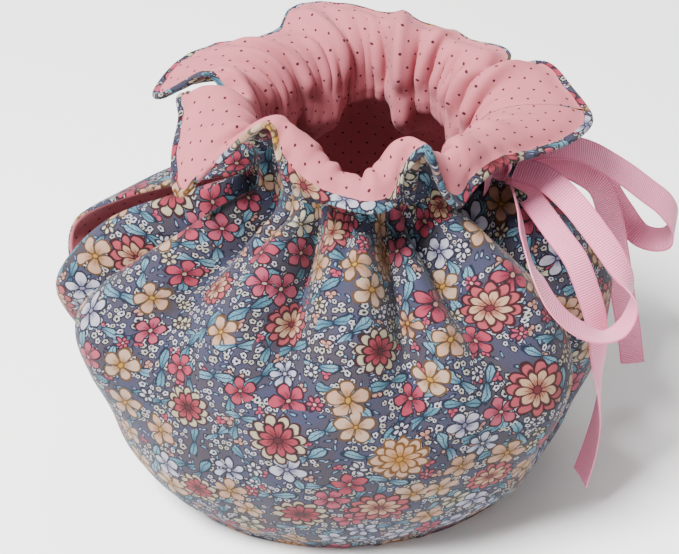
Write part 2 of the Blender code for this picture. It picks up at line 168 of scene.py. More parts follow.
# One row for each long crease of the frill: its azimuth at the neck, how far it leans by the edge,
# its depth and half width, and the share of the way to the edge at which it ends
FRILL_CREASES = {
    "back_nip": (158.0, 1.0, 3.4, 3.2, 1.4),
    "back_right_long": (149.0, -8.0, 2.8, 2.4, 1.2),
    "back_right_tuck": (139.0, -7.0, 2.2, 2.0, 0.9),
    "right_back_long": (129.0, -11.0, 3.0, 2.6, 1.1),
    "right_back_tuck": (119.0, -6.0, 2.2, 2.0, 0.8),
    "right_side_long": (104.0, 5.0, 2.4, 2.6, 1.0),
    "right_shoulder_tuck": (92.0, 6.0, 2.0, 3.0, 0.8),
    "right_lobe_tuck": (66.0, 4.0, 2.2, 3.0, 0.9),
    "back_tuck": (172.0, 3.0, 2.0, 2.2, 0.7),
    "back_left_long": (188.0, 8.0, 3.0, 2.6, 1.2),
    "back_left_tuck": (199.0, 6.0, 2.2, 2.2, 0.8),
    "left_back_long": (212.0, 10.0, 3.2, 2.8, 1.2),
    "left_back_tuck": (224.0, 6.0, 2.2, 2.2, 0.9),
    "left_side_long": (238.0, 9.0, 2.8, 2.8, 1.1),
    "left_side_tuck": (251.0, 3.0, 2.0, 2.4, 0.8),
    "left_lobe_tuck": (297.0, -2.0, 2.2, 3.2, 0.9),
    "front_left_tuck": (346.0, 0.0, 1.8, 2.4, 0.9),
    "front_tuck": (2.0, 0.0, 2.0, 2.0, 1.0),
}

# How far the outer cloth rolls over the frill's edge on to the lining
RIM_COLUMNS = ("neck_azimuth", "width")
RIM = {
    "front": (0.0, 3.3),
    "front_right": (30.0, 3.0),
    "right": (60.0, 2.4),
    "right_corner": (90.0, 1.7),
    "back_right": (125.0, 1.3),
    "back": (180.0, 1.2),
    "back_left": (225.0, 1.4),
    "left": (262.0, 1.9),
    "left_lobe": (292.0, 1.4),
    "front_left": (328.0, 2.7),
}

# One row for each point of a ribbon's middle line, and the way that its face looks there:
# x, y, z, face azimuth, face elevation
FRONT_LOOP = (
    (55.5, -5.5, 124.0, 5.0, 58.0),
    (66.0, -10.0, 122.5, 5.0, 50.0),
    (75.0, -16.0, 117.0, 10.0, 47.0),
    (83.0, -24.0, 110.0, 18.0, 42.0),
    (90.5, -32.0, 102.0, 30.0, 35.0),
    (95.5, -38.0, 94.5, 60.0, 12.0),
    (95.5, -46.0, 88.5, 97.0, -25.0),
    (90.0, -54.0, 86.0, 101.0, -58.0),
    (82.0, -60.0, 89.5, 150.0, -86.0),
    (73.0, -62.0, 95.5, 258.0, -58.0),
    (65.0, -61.0, 104.0, 256.0, -42.0),
    (59.5, -54.0, 112.0, 256.0, -28.0),
    (56.5, -40.0, 115.0, 255.0, -18.0),
    (55.5, -27.0, 119.0, 255.0, -12.0),
    (53.0, -14.5, 124.0, 258.0, -10.0),
)
BACK_LOOP = (
    (56.0, 3.5, 125.0, 0.0, 62.0),
    (68.0, 6.0, 126.0, 0.0, 58.0),
    (81.0, 8.5, 123.0, 5.0, 55.0),
    (96.0, 11.0, 113.0, 10.0, 50.0),
    (108.5, 13.0, 102.0, 15.0, 45.0),
    (117.0, 14.0, 94.0, 35.0, 32.0),
    (122.0, 16.0, 84.0, 72.0, 0.0),
    (120.0, 20.0, 74.0, 135.0, -45.0),
    (112.0, 28.0, 70.0, 172.0, -50.0),
    (104.0, 34.0, 78.0, 178.0, -42.0),
    (96.0, 36.5, 90.0, 180.0, -40.0),
    (86.0, 34.0, 104.5, 185.0, -60.0),
    (71.0, 20.5, 119.5, 195.0, -72.0),
    (55.5, 8.5, 121.2, 205.0, -76.0),
)
FRONT_TAIL = (
    (56.5, -5.0, 118.6, 20.0, 68.0),
    (62.5, -17.0, 115.6, 25.0, 55.0),
    (69.5, -30.0, 111.5, 28.0, 42.0),
    (75.0, -39.0, 107.5, 31.0, 32.0),
    (79.5, -46.0, 98.5, 34.0, 24.0),
    (83.0, -50.5, 88.0, 38.0, 15.0),
    (84.5, -54.0, 76.0, 50.0, 8.0),
    (86.0, -54.5, 62.0, 76.0, 0.0),
    (87.0, -53.0, 44.0, 96.0, 0.0),
    (85.5, -54.0, 30.0, 107.0, 0.0),
    (82.5, -56.0, 15.5, 114.0, -5.0),
)
BACK_TAIL = (
    (56.0, 15.0, 118.2, 60.0, 68.0),
    (68.0, 19.0, 113.0, 45.0, 62.0),
    (80.0, 20.5, 107.0, 25.0, 52.0),
    (90.5, 21.0, 100.0, 22.0, 25.0),
    (97.0, 21.0, 85.0, 15.0, 15.0),
    (101.5, 19.5, 67.0, 10.0, 10.0),
    (105.5, 17.5, 48.0, 10.0, 10.0),
    (110.0, 15.5, 28.0, 10.0, 10.0),
    (112.5, 14.0, 14.0, 10.0, 10.0),
)
FRONT_LEAD = (
    (46.3, -9.4, 126.0, 80.0, 0.0),
    (45.0, -14.0, 126.0, 74.0, 0.0),
    (43.0, -19.0, 126.0, 67.0, 0.0),
)
BACK_LEAD = (
    (46.3, 7.4, 126.0, 98.0, 0.0),
    (45.3, 12.0, 126.0, 104.0, 0.0),
    (43.6, 17.0, 126.0, 111.0, 0.0),
)
KNOT_CENTRE = (49.4, -1.0, 124.8)
KNOT_SIZE = (9.0, 15.0, 11.0)


# ---- The folded cloth ----------------------------------------------------------------------


def column(table, names, wanted):
    """One named column of a table."""
    return np.array([row[names.index(wanted)] for row in table.values()])


def smooth_step(low, high, value):
    share = np.clip((value - low) / (high - low), 0.0, 1.0)
    return share * share * (3.0 - 2.0 * share)


def hermite(knots, values, at):
    """A smooth curve through values at rising knots; values may have further axes."""
    knots = np.asarray(knots, float)
    values = np.asarray(values, float)
    at = np.asarray(at, float)
    spread = knots.reshape((-1,) + (1,) * (values.ndim - 1))
    slopes = np.gradient(values, knots, axis=0, edge_order=1)
    low = np.clip(np.searchsorted(knots, at, side="right") - 1, 0, len(knots) - 2)
    span = spread[low + 1] - spread[low]
    share = (at.reshape((-1,) + (1,) * (values.ndim - 1)) - spread[low]) / span
    square, cube = share**2, share**3
    start = (2 * cube - 3 * square + 1) * values[low]
    start = start + (cube - 2 * square + share) * span * slopes[low]
    end = (3 * square - 2 * cube) * values[low + 1] + (cube - square) * span * slopes[low + 1]
    return start + end


def closed_hermite(knots, values, at, period=360.0):
    knots = np.asarray(knots, float)
    values = np.asarray(values, float)
    turns = np.concatenate([knots - period, knots, knots + period])
    return hermite(turns, np.concatenate([values, values, values]), np.mod(at, period))


def level_radius(azimuth):
    """The body's radius at every level, for each azimuth."""
    by_direction = np.array([column(BODY, LEVELS, name) for name in DIRECTIONS])
    return closed_hermite(AZIMUTHS, by_direction, azimuth).T


def panel_azimuth(across, centre, radius, low_gap, high_gap):
    """Azimuths from side (-1) to side (1) of a panel, which leaves its gaps open at the sides."""
    edge = np.where(across < 0, low_gap, high_gap) / radius
    return centre + 90.0 * across - np.degrees(edge) * np.sign(across) * np.abs(across) ** 3


def fold_depth(azimuth, level):
    """The part's large folds, here with the sharper valleys and rounder ridges of soft cloth."""
    depth = np.zeros_like(azimuth)
    for at_neck, low_down, deep, half_width, from_level, to_level in BODY_FOLDS.values():
        share = np.clip((level - from_level) / (to_level - from_level), 0.0, 1.0)
        middle = low_down + (at_neck - low_down) * share
        away = np.mod(azimuth - middle + 180.0, 360.0) - 180.0
        width = half_width * (1.8 - 0.8 * share)
        strength = smooth_step(from_level, from_level + 2.0, level)
        strength = strength * (1.0 + 0.35 * smooth_step(4.8, 6.4, level))
        strength = strength * (1.0 - 0.7 * smooth_step(7.3, 8.6, level))
        if deep > 0:
            pressed = smooth_step(4.5, 6.5, level)
            crease = 0.45 * pressed * np.exp(-(away / width / 0.42) ** 2)
            shape = 0.8 * np.exp(-np.abs(away / width) ** 1.8) + crease
        else:
            shape = 1.3 * np.exp(-np.abs(away / width) ** 2.0)
        depth += deep * strength * shape
    return depth


def pleat_phase(azimuth):
    turn = np.radians(azimuth)
    return PLEATS * turn + 0.9 * np.sin(3 * turn + 1.0) + 0.6 * np.sin(5 * turn + 2.2)


def pinched(phase):
    """A row of gathers from -1 to 1: round on top, and pinched to a crease at the bottom."""
    return 2.0 * np.maximum(0.5 + 0.5 * np.sin(phase), 1e-9) ** 0.75 - 1.0


def pleat_wave(azimuth):
    turn = np.radians(azimuth)
    uneven = 0.75 + 0.3 * np.sin(7 * turn + 0.6) + 0.25 * np.sin(13 * turn + 1.9)
    return uneven * pinched(pleat_phase(azimuth) + 0.8 * np.sin(9 * turn + 0.8))


def small_gathers(azimuth):
    """The narrow tucks between the pleats, uneven round the neck."""
    turn = np.radians(azimuth)
    uneven = 0.65 + 0.5 * np.sin(11 * turn + 2.0) * np.sin(4 * turn + 0.3)
    uneven = uneven + 0.25 * np.sin(17 * turn + 1.1)
    tucks = pinched(3.1 * pleat_phase(azimuth) + 1.6 * np.sin(6 * turn))
    finer = pinched(4.7 * pleat_phase(azimuth) + 2.1 * np.sin(5 * turn + 1.0))
    return uneven * (0.75 * tucks + 0.4 * finer)


def soft_noise(u, v, size_u, size_v, seed, waves=14):
    """Soft unevenness of about -1 to 1, with bumps of the given sizes."""
    draw = np.random.default_rng(seed)
    total = np.zeros(np.broadcast(u, v).shape)
    for _ in range(waves):
        heading = draw.uniform(0.0, 2.0 * math.pi)
        pace = draw.uniform(0.6, 1.5)
        phase = draw.uniform(0.0, 2.0 * math.pi)
        way = math.cos(heading) * u / size_u + math.sin(heading) * v / size_v
        total += np.sin(pace * way + phase)
    return total / math.sqrt(waves / 2.0) * 0.6


def creased(value):
    """Turns soft noise into cloth's wrinkles: broad rounded fields with narrow folds between."""
    return 1.0 - 2.0 * np.abs(value) ** 0.7


def eased(points):
    """Softens a grid of points a little, keeps its sides, and its end rows only along themselves."""
    points = points.copy()
    for _ in range(EASING_ROUNDS):
        points[:, 1:-1] = 0.25 * points[:, :-2] + 0.5 * points[:, 1:-1] + 0.25 * points[:, 2:]
        points[1:-1, 1:-1] = (0.25 * points[:-2] + 0.5 * points[1:-1] + 0.25 * points[2:])[:, 1:-1]
    return points


def lengths_along(points, axis=0):
    """How far each point of a line or grid lies from its first one, walked along the axis."""
    steps = np.linalg.norm(np.diff(points, axis=axis), axis=-1)
    start = np.zeros_like(np.take(steps, [0], axis=axis))
    return np.concatenate([start, np.cumsum(steps, axis=axis)], axis=axis)


def normals_of(points):
    along = np.gradient(points, axis=1)
    up = np.gradient(points, axis=0)
    normal = np.cross(along, up)
    return normal / np.maximum(np.linalg.norm(normal, axis=2, keepdims=True), 1e-9)


def frill_edge(neck_azimuth):
    """The frill's edge, and the height of the crest before it, for each azimuth at the neck."""
    azimuth = np.radians(column(FRILL_FOLDS, FRILL, "azimuth"))
    radius = column(FRILL_FOLDS, FRILL, "radius")
    height = column(FRILL_FOLDS, FRILL, "height")
    edge = np.stack([radius * np.sin(azimuth), -radius * np.cos(azimuth), height], axis=1)
    placed = np.concatenate([edge, column(FRILL_FOLDS, FRILL, "crest")[:, None]], axis=1)
    found = closed_hermite(column(FRILL_FOLDS, FRILL, "neck_azimuth"), placed, neck_azimuth)
    return found[:, :3], found[:, 3]


def rise_to_crest(foot, edge, crest):
    """How high above its foot a curve's control point stands, so that it just reaches its crest."""
    climb = np.maximum(crest - foot, edge - foot + 0.5)
    return climb + np.sqrt(climb * (climb - (edge - foot)))


def body_levels():
    """Rows of the body: close together at the hem's rounded edge, then even up to the casing."""
    hem = [0.0, 0.1, 0.22, 0.4, 0.65]
    return np.concatenate([hem, np.linspace(1.0, len(BODY) - 1.0, BODY_ROWS - len(hem))])


def frill_shares(rim):
    """Rows of the frill from the casing to its edge, close together on the rolled rim. The rim's
    width is a share of each column's length."""
    edge = 1.0 - rim[None, :] * np.array(RIM_ROWS)[:, None]
    even = np.linspace(0.0, 1.0, FRILL_ROWS - len(RIM_ROWS) + 1, endpoint=False)[1:, None]
    return np.concatenate([even * edge[:1], edge])


def panel_columns():
    """Columns of a panel from side to side, close together at its rounded sides."""
    edge = 1.0 - np.array([0.0, 0.002, 0.0045, 0.009])
    inner = np.linspace(-0.984, 0.984, PANEL_COLUMNS - 2 * len(edge))
    return np.concatenate([-edge, inner, edge[::-1]])


def body_cloth(centre, low_gap, high_gap, across, level, seed):
    """A panel from its hem to the casing, with its folds, pleats, wrinkles and waving hem."""
    index = np.arange(len(BODY))
    radius = hermite(index, level_radius(centre + 90.0 * across), level)
    height = hermite(index, column(BODY, LEVELS, "height"), level)
    height = height + HEM_LIFT * (1.0 - smooth_step(0.0, 1.5, level))
    low = np.clip(hermite(index, column(BODY, LEVELS, low_gap), level), SEAM_GAP, None)
    high = np.clip(hermite(index, column(BODY, LEVELS, high_gap), level), SEAM_GAP, None)
    azimuth = panel_azimuth(across[None, :], centre, radius, low[:, None], high[:, None])
    turn = np.radians(azimuth)
    height = np.broadcast_to(height[:, None], radius.shape)
    body = np.stack([radius * np.sin(turn), -radius * np.cos(turn), height], axis=2)

    level = np.broadcast_to(level[:, None], radius.shape)
    # Each pleat starts at its own height, so that the gathers run out unevenly down the shoulder.
    reach = 5.4 + 0.9 * soft_noise(azimuth, 0.0 * level, 8.0, 1.0, seed + 4)
    at_neck = smooth_step(6.2, 7.4, level) * (1.0 - smooth_step(7.7, 9.0, level))
    swell = 1.0 + 1.2 * at_neck
    swell = swell * (1.0 - 0.5 * smooth_step(7.7, 8.9, level))
    push = PLEAT_DEPTH * swell * pleat_wave(azimuth) * smooth_step(reach - 0.9, reach + 1.9, level)
    push += 1.1 * small_gathers(azimuth) * smooth_step(6.2, 8.0, level)
    push += NECK_PUFF * at_neck
    push -= FOLD_STRENGTH * fold_depth(azimuth, level)
    push += 1.4 * soft_noise(azimuth, level, 10.0, 1.1, seed) * smooth_step(0.8, 3.0, level)
    wrinkles = creased(soft_noise(azimuth, level, 5.0, 1.3, seed + 1))
    near_neck = smooth_step(7.0, 8.5, level)
    push += 0.5 * wrinkles * smooth_step(0.8, 2.0, level) * (1.0 - 0.5 * near_neck)
    drag = soft_noise(azimuth, level, 5.0, 4.5, seed + 7)
    push += 0.9 * drag * smooth_step(0.8, 2.4, level) * (1.0 - smooth_step(3.8, 5.4, level))
    # No fold reaches in past the casing.
    least = LEAST_RADIUS - radius
    push = 0.5 * (push + least + np.sqrt((push - least) ** 2 + 1.0))
    from_side = 1.0 - np.abs(across)
    held = smooth_step(1.0, 2.6, level) * smooth_step(0.0, 0.12, from_side)[None, :]
    body = eased(body + normals_of(body) * (push * held)[..., None] * np.array([1.0, 1.0, 0.6]))
    # The hem's stitches pull it in small uneven puckers.
    pucker = 0.3 * soft_noise(azimuth, level, 1.6, 0.9, seed + 6)
    pucker = pucker * smooth_step(0.0, 0.6, level) * (1.0 - smooth_step(1.0, 2.6, level))
    # Its edge waves a little where it stands.
    wave = 0.9 * soft_noise(azimuth, 0.0 * level, 6.0, 1.0, seed + 9)
    pucker += wave * (1.0 - smooth_step(1.0, 3.0, level))
    pucker = pucker * smooth_step(0.0, 0.05, from_side)[None, :]
    return body + normals_of(body) * pucker[..., None], azimuth


def frill_curve(foot, edge, crest, share):
    """The frill's plain shape: each column rises from the casing over its crest to its edge."""
    rise = rise_to_crest(foot[:, 2], edge[:, 2], crest)
    control = foot + np.stack([0.0 * rise, 0.0 * rise, rise], axis=1)
    share = share[..., None]
    bend = 2 * share * (1 - share) * control[None]
    return (1 - share) ** 2 * foot[None] + bend + share**2 * edge[None]


def frill_creases(leaving, share):
    """The frill's long creases, drawn up out of the gathers towards its edge."""
    depth = np.zeros_like(share)
    for azimuth, lean, deep, half_width, reach in FRILL_CREASES.values():
        away = leaving[None, :] - azimuth - lean * share
        away = np.mod(away + 180.0, 360.0) - 180.0
        run = smooth_step(0.03, 0.2, share) * (1.0 - smooth_step(0.55 * reach, reach, share))
        depth += 1.2 * deep * run * np.exp(-np.abs(away / half_width) ** 1.5)
    return depth


def frill_cloth(centre, across, foot, foot_azimuth, seed):
    """A panel's half of the frill, with its gathers, creases, curled edge and puckered rim."""
    leaving = panel_azimuth(across, centre, NECK_RADIUS, SEAM_GAP, SEAM_GAP)
    edge, crest = frill_edge(leaving)
    even = np.linspace(0.0, 1.0, FRILL_ROWS)[:, None] * np.ones(len(across))
    plain = frill_curve(foot, edge, crest, even)
    length = np.linalg.norm(np.diff(plain, axis=0), axis=2).sum(axis=0)
    rim_at, rim_width = (column(RIM, RIM_COLUMNS, name) for name in RIM_COLUMNS)
    share = frill_shares(closed_hermite(rim_at, rim_width, leaving) / length)
    frill = frill_curve(foot, edge, crest, share)
    # Some pleats run almost to the edge, and others end close to the casing.
    fade = 1.3 + 0.9 * soft_noise(foot_azimuth, 0.0 * foot_azimuth, 9.0, 1.0, seed + 5)
    fade = np.clip(fade, 0.5, 2.6)[None, :]
    ripple = 0.7 * PLEAT_DEPTH * pleat_wave(foot_azimuth)[None, :] * (1 - share) ** fade
    ripple = ripple + 1.9 * small_gathers(foot_azimuth)[None, :] * (1 - share) ** (fade + 0.8)
    ripple = ripple * smooth_step(0.0, 0.2, share)
    slack = soft_noise(leaving[None, :], share, 7.0, 0.5, seed + 2)
    slack = slack + 0.4 * creased(soft_noise(leaving[None, :], share, 3.4, 0.6, seed + 3))
    # Where the edge is crowded into a narrow peak there is no room for slack.
    room = np.linalg.norm(np.gradient(frill, axis=1), axis=2)
    room = np.clip(room / np.median(room[0]), 0.0, 1.0)
    ripple = ripple + room * slack * smooth_step(0.05, 0.4, share)
    ripple = ripple - frill_creases(leaving, share)
    ripple = ripple * smooth_step(0.0, 0.12, 1.0 - np.abs(across))[None, :]
    # The outermost cloth turns up a little, so its printed side shows under the edge.
    steps = np.linalg.norm(np.diff(frill, axis=0), axis=2)
    to_edge = np.concatenate([np.cumsum(steps[::-1], axis=0)[::-1], np.zeros((1, frill.shape[1]))])
    near = np.clip(to_edge / CURL_WIDTH, 0.0, 1.0)
    ripple = ripple + CURL_DEPTH * 4.0 * near * (1.0 - near) * room
    # The stitches along the rolled rim pull the lining in small puckers.
    along = lengths_along(frill[-1])
    pucker = 0.45 * soft_noise(along[None, :], to_edge, 1.5, 6.0, seed + 8)
    pucker = pucker * smooth_step(0.5, 3.0, to_edge)
    pucker = pucker * (1.0 - smooth_step(4.0, 11.0, to_edge))
    ripple = ripple + pucker * room
    return eased(frill + normals_of(frill) * ripple[..., None])


def panel_cloth(centre, low_gap, high_gap, seed):
    """One panel's middle surface, how many of its rows are body, its thickness and its rim."""
    across, level = panel_columns(), body_levels()
    body, azimuth = body_cloth(centre, low_gap, high_gap, across, level, seed)
    frill = frill_cloth(centre, across, body[-1], azimuth[-1], seed)
    points = np.concatenate([body, frill])

    up, along = lengths_along(points, axis=0), lengths_along(points, axis=1)
    to_edge = np.clip(np.minimum(up, up[-1] - up) / EDGE_ROUND, 0.0, 1.0)
    open_slit = []
    for name in (low_gap, high_gap):
        gap = hermite(np.arange(len(BODY)), column(BODY, LEVELS, name), level)
        open_slit.append(np.concatenate([gap, np.zeros(len(frill))]) > 1.0)
    open_slit = np.stack(open_slit, axis=1)
    side_round = np.where(open_slit, EDGE_ROUND, SEAM_ROUND)
    sides = np.minimum(along / side_round[:, :1], (along[:, -1:] - along) / side_round[:, 1:])
    thickness = np.sqrt(1.0 - (1.0 - np.minimum(to_edge, np.clip(sides, 0.0, 1.0))) ** 2)
    # A sewn side keeps most of its thickness, and a free edge thins to a rounded rim.
    free = np.where(across[None, :] < 0, open_slit[:, :1], open_slit[:, 1:]) | (to_edge < 1.0)
    least = np.where(free, 0.18, 0.93)
    rolled = np.zeros(points.shape[:2], bool)
    rolled[-len(RIM_ROWS) :] = True
    return points, len(level), np.maximum(thickness, least), rolled


# ---- The flat pattern: where each point of the folded cloth lies on the uncut print ------------


def relaxed_chart(points):
    """Lays a folded grid flat with its lengths kept as nearly as they can be, in millimetres."""
    rows, columns = points.shape[:2]
    row_at = np.unique(np.round(np.linspace(0, rows - 1, max(3, rows // CHART_STEP))).astype(int))
    column_at = np.unique(np.round(np.linspace(0, columns - 1, columns // CHART_STEP)).astype(int))
    up, along = lengths_along(points, axis=0), lengths_along(points, axis=1)
    along, up = along[np.ix_(row_at, column_at)], up[np.ix_(row_at, column_at)]
    row_rest, column_rest = np.diff(along, axis=1), np.diff(up, axis=0)
    middle = len(column_at) // 2
    width = row_rest.mean(axis=0)
    start = np.concatenate([[0.0], np.cumsum(width)])
    start = start - start[middle]
    flat = np.stack([np.broadcast_to(start, along.shape), up], axis=2).astype(float)
    # Squares keep their corners square, so their diagonals have the length that their sides give.
    across = 0.5 * (row_rest[1:] + row_rest[:-1])
    cross_rest = np.hypot(across, 0.5 * (column_rest[:, 1:] + column_rest[:, :-1]))
    pairs = (
        ((slice(None), slice(None, -1)), (slice(None), slice(1, None)), row_rest, 1.0),
        ((slice(None, -1), slice(None)), (slice(1, None), slice(None)), column_rest, 1.0),
        ((slice(None, -1), slice(None, -1)), (slice(1, None), slice(1, None)), cross_rest, 0.45),
        ((slice(1, None), slice(None, -1)), (slice(None, -1), slice(1, None)), cross_rest, 0.45),
    )
    for _ in range(CHART_ROUNDS):
        move = np.zeros_like(flat)
        weight = np.zeros(flat.shape[:2])
        for first, second, rest, stiff in pairs:
            gap = flat[second] - flat[first]
            length = np.linalg.norm(gap, axis=2, keepdims=True)
            pull = stiff * 0.5 * gap * (1.0 - rest[..., None] / np.maximum(length, 1e-6))
            move[first] += pull
            move[second] -= pull
            weight[first] += stiff
            weight[second] += stiff
        flat += CHART_PACE * move / weight[..., None]
    # Back to every row and column of the cloth
    every = np.arange(columns)
    by_row = np.stack([[np.interp(every, column_at, line[:, k]) for k in (0, 1)] for line in flat])
    every = np.arange(rows)
    full = np.stack(
        [[np.interp(every, row_at, by_row[:, k, j]) for j in range(columns)] for k in (0, 1)]
    )
    return full.transpose(2, 1, 0)


# ---- Meshes --------------------------------------------------------------------------------


def sheet_object(name, points, charts, materials, weights=None, picked=None, thick=1.0):
    """A grid whose points are moved into place, with a UV chart for each band of rows."""
    rows, columns = points.shape[:2]
    axis = Vector((*NECK_AXIS, 0.0)) * MM
    grid = bmesh.new()
    bmesh.ops.create_grid(grid, x_segments=columns - 1, y_segments=rows - 1, size=1.0)
    place = {}
    for vertex in grid.verts:
        i = round((vertex.co.y + 1.0) / 2.0 * (rows - 1))
        j = round((vertex.co.x + 1.0) / 2.0 * (columns - 1))
        place[vertex.index] = (i, j)
        vertex.co = Vector(points[i, j] * MM) + axis
    uv = grid.loops.layers.uv.new("flat_pattern")
    for face in grid.faces:
        corners = [place[vertex.index] for vertex in face.verts]
        lowest = min(i for i, _ in corners)
        first, chart = next((start, chart) for start, chart in reversed(charts) if lowest >= start)
        # A face's inner side takes the material after its own, so a picked one is alike on both.
        if picked is not None:
            face.material_index = 2 if all(picked[i, j] for i, j in corners) else 0
        for loop, (i, j) in zip(face.loops, corners):
            loop[uv].uv = chart[i - first, j] / CHART_SIZE
    # The cloth's cut edges are sharp, so that no shading runs round them.
    for edge in grid.edges:
        edge.smooth = not edge.is_boundary
    mesh = bpy.data.meshes.new(name)
    order = [place[vertex.index] for vertex in grid.verts]
    grid.to_mesh(mesh)
    grid.free()
    for polygon in mesh.polygons:
        polygon.use_smooth = True
    for material in materials:
        mesh.materials.append(material)
    obj = bpy.data.objects.new(name, mesh)
    bpy.context.scene.collection.objects.link(obj)
    solidify = obj.modifiers.new("Thickness", "SOLIDIFY")
    solidify.thickness = thick * MM
    solidify.offset = 0.0
    if len(materials) > 1:
        solidify.material_offset = 1
        solidify.material_offset_rim = 0
    if weights is not None:
        group = obj.vertex_groups.new(name="padding")
        for index, (i, j) in enumerate(order):
            group.add([index], float(weights[i, j]), "REPLACE")
        solidify.vertex_group = "padding"
    return obj


def ribbon_surface(path, slant=0.0):
    """A ribbon along its path, slightly cupped across, with its flat pattern and its length."""
    table = np.array(path)
    along = lengths_along(table[:, :3])
    faces = np.radians(np.unwrap(table[:, 3], period=360.0))
    tilts = np.radians(table[:, 4])
    level = np.cos(tilts)
    facing = np.stack([np.sin(faces) * level, -np.cos(faces) * level, np.sin(tilts)], axis=1)
    rows = round(along[-1] / RIBBON_STEP)
    at = np.linspace(0.0, along[-1], rows + 1)
    line = hermite(along, table[:, :3], at)
    tangent = np.gradient(line, axis=0)
    tangent = tangent / np.linalg.norm(tangent, axis=1, keepdims=True)
    looking = hermite(along, facing, at)
    side = np.cross(tangent, looking)
    side = side / np.linalg.norm(side, axis=1, keepdims=True)
    up = np.cross(side, tangent)
    across = np.linspace(-0.5, 0.5, RIBBON_POINTS)
    end = np.clip((at - (along[-1] - SLANT_RUN)) / SLANT_RUN, 0.0, 1.0)
    cupped = RIBBON_CUP * (1.0 - (2.0 * across) ** 2)[None, :] * np.ones((rows + 1, 1))
    shift = (slant * across[None, :] + 0.5 * abs(slant)) * end[:, None]
    points = (
        line[:, None]
        + side[:, None] * (across * RIBBON_WIDTH)[None, :, None]
        + up[:, None] * cupped[..., None]
        - tangent[:, None] * shift[..., None]
    )
    walked = lengths_along(line)
    chart = np.stack(
        [np.broadcast_to(across * RIBBON_WIDTH, points.shape[:2]), walked[:, None] - shift], axis=2
    )
    return points, chart, walked[-1]


def bow_knot(material):
    """The ribbon's last turn round the crossing: a short ruched sleeve, fullest at its middle."""
    rows, columns = 25, 61
    turn = np.linspace(0.0, 2.0 * math.pi, columns)
    across = np.linspace(-1.0, 1.0, rows)[:, None]
    bulge = 0.86 + 0.14 * np.cos(across * math.pi / 2.0)
    creases = 0.07 * np.sin(across * 8.0 + 1.3 * np.sin(turn)[None, :])
    creases = creases * (1.0 + 0.4 * np.cos(2 * turn))[None, :]
    size = bulge * (1.0 + creases)
    x = 0.5 * KNOT_SIZE[0] * size * np.cos(turn)[None, :]
    z = 0.5 * KNOT_SIZE[2] * size * np.sin(turn)[None, :]
    y = 0.5 * (KNOT_SIZE[1] - 2.0) * across + 0.5 * np.sin(turn + 0.7)[None, :]
    points = np.stack([x, np.broadcast_to(y, x.shape), z], axis=2) + np.array(KNOT_CENTRE)
    around = 0.5 * (KNOT_SIZE[0] + KNOT_SIZE[2]) / 2.0 * turn
    chart = [np.broadcast_to(part, x.shape) for part in (across * 5.0, around[None, :])]
    charts = [(0, np.stack(chart, axis=2))]
    return sheet_object("bow_knot", points, charts, [material], thick=RIBBON_THICK)


# ---- Materials -----------------------------------------------------------------------------


def linear(code):
    """An sRGB hex colour as linear RGBA."""
    parts = [int(code[i : i + 2], 16) / 255.0 for i in (1, 3, 5)]
    return (*[c / 12.92 if c <= 0.04045 else ((c + 0.055) / 1.055) ** 2.4 for c in parts], 1.0)


def add(tree, kind, *inputs, wires=None, **settings):
    """Adds a node with its settings; each input is a value, a node or a socket to link from."""
    node = tree.nodes.new(kind)
    for key, value in settings.items():
        setattr(node, key, value)
    for key, given in [*enumerate(inputs), *(wires or {}).items()]:
        if given is None:
            continue
        if isinstance(given, bpy.types.Node):
            given = given.outputs[0]
        if isinstance(given, bpy.types.NodeSocket):
            tree.links.new(given, node.inputs[key])
        else:
            node.inputs[key].default_value = given
    return node


def new_material(name):
    material = bpy.data.materials.new(name)
    material.use_nodes = True
    material.node_tree.nodes.clear()
    return material, material.node_tree


MATH, VECTOR, MIX = "ShaderNodeMath", "ShaderNodeVectorMath", "ShaderNodeMix"


def cloth_place(tree, offset):
    """The flat pattern in millimetres, moved so that each motif has its own scatter."""
    pattern = add(tree, "ShaderNodeUVMap", uv_map="flat_pattern")
    return add(tree, VECTOR, pattern, (CHART_SIZE,) * 3, offset, operation="MULTIPLY_ADD")


# One row for each kind of printed motif, from the bottom of the print to its top. In millimetres:
# the scatter's pitch, the petals' distance from the middle, half their length and width, the
# middle's radius, and the outline. "uneven" is how far the scatter strays from a grid, "taper"
# narrows petals towards the middle, "shown" is the share that is printed, "grouped" keeps motifs to
# clusters, and "vein" is how far up a petal its veins run, as a share of its length.
MOTIFS = (
    "pitch", "uneven", "petals", "reach", "half_length", "half_width", "taper", "middle", "outline",
    "shown", "grouped", "vein",
)
PRINT = {
    "slivers": (2.7, 0.85, 1, 0.0, 0.9, 0.36, 0.0, 0.0, 0.24, 0.6, 0.0, 0.0),
    "rings": (2.8, 0.6, 5, 0.6, 0.5, 0.52, 0.0, 0.13, 0.3, 0.9, 0.42, 0.0),
    "buds": (8.5, 0.8, 3, 0.7, 1.05, 0.8, 0.6, 0.0, 0.3, 0.5, 0.0, 0.4),
    "leaves": (11.5, 0.8, 2, 3.6, 3.5, 1.7, 0.5, 0.0, 0.45, 0.85, 0.0, 1.0),
    "stars": (7.2, 0.7, 6, 1.5, 1.15, 0.66, 0.7, 0.6, 0.34, 0.85, 0.0, 0.3),
    "sixes": (15.0, 0.7, 6, 3.4, 2.4, 1.4, 0.75, 0.85, 0.4, 0.92, 0.0, 0.5),
    "fives": (16.0, 0.7, 5, 3.5, 2.75, 2.1, 0.7, 0.85, 0.42, 0.95, 0.0, 0.55),
    "outer_rosettes": (37.0, 0.6, 11, 6.2, 2.6, 1.75, 0.7, 0.0, 0.42, 1.0, 0.0, 0.6),
    "inner_rosettes": (37.0, 0.6, 9, 3.6, 2.5, 1.35, 0.75, 1.1, 0.42, 1.0, 0.0, 0.7),
}

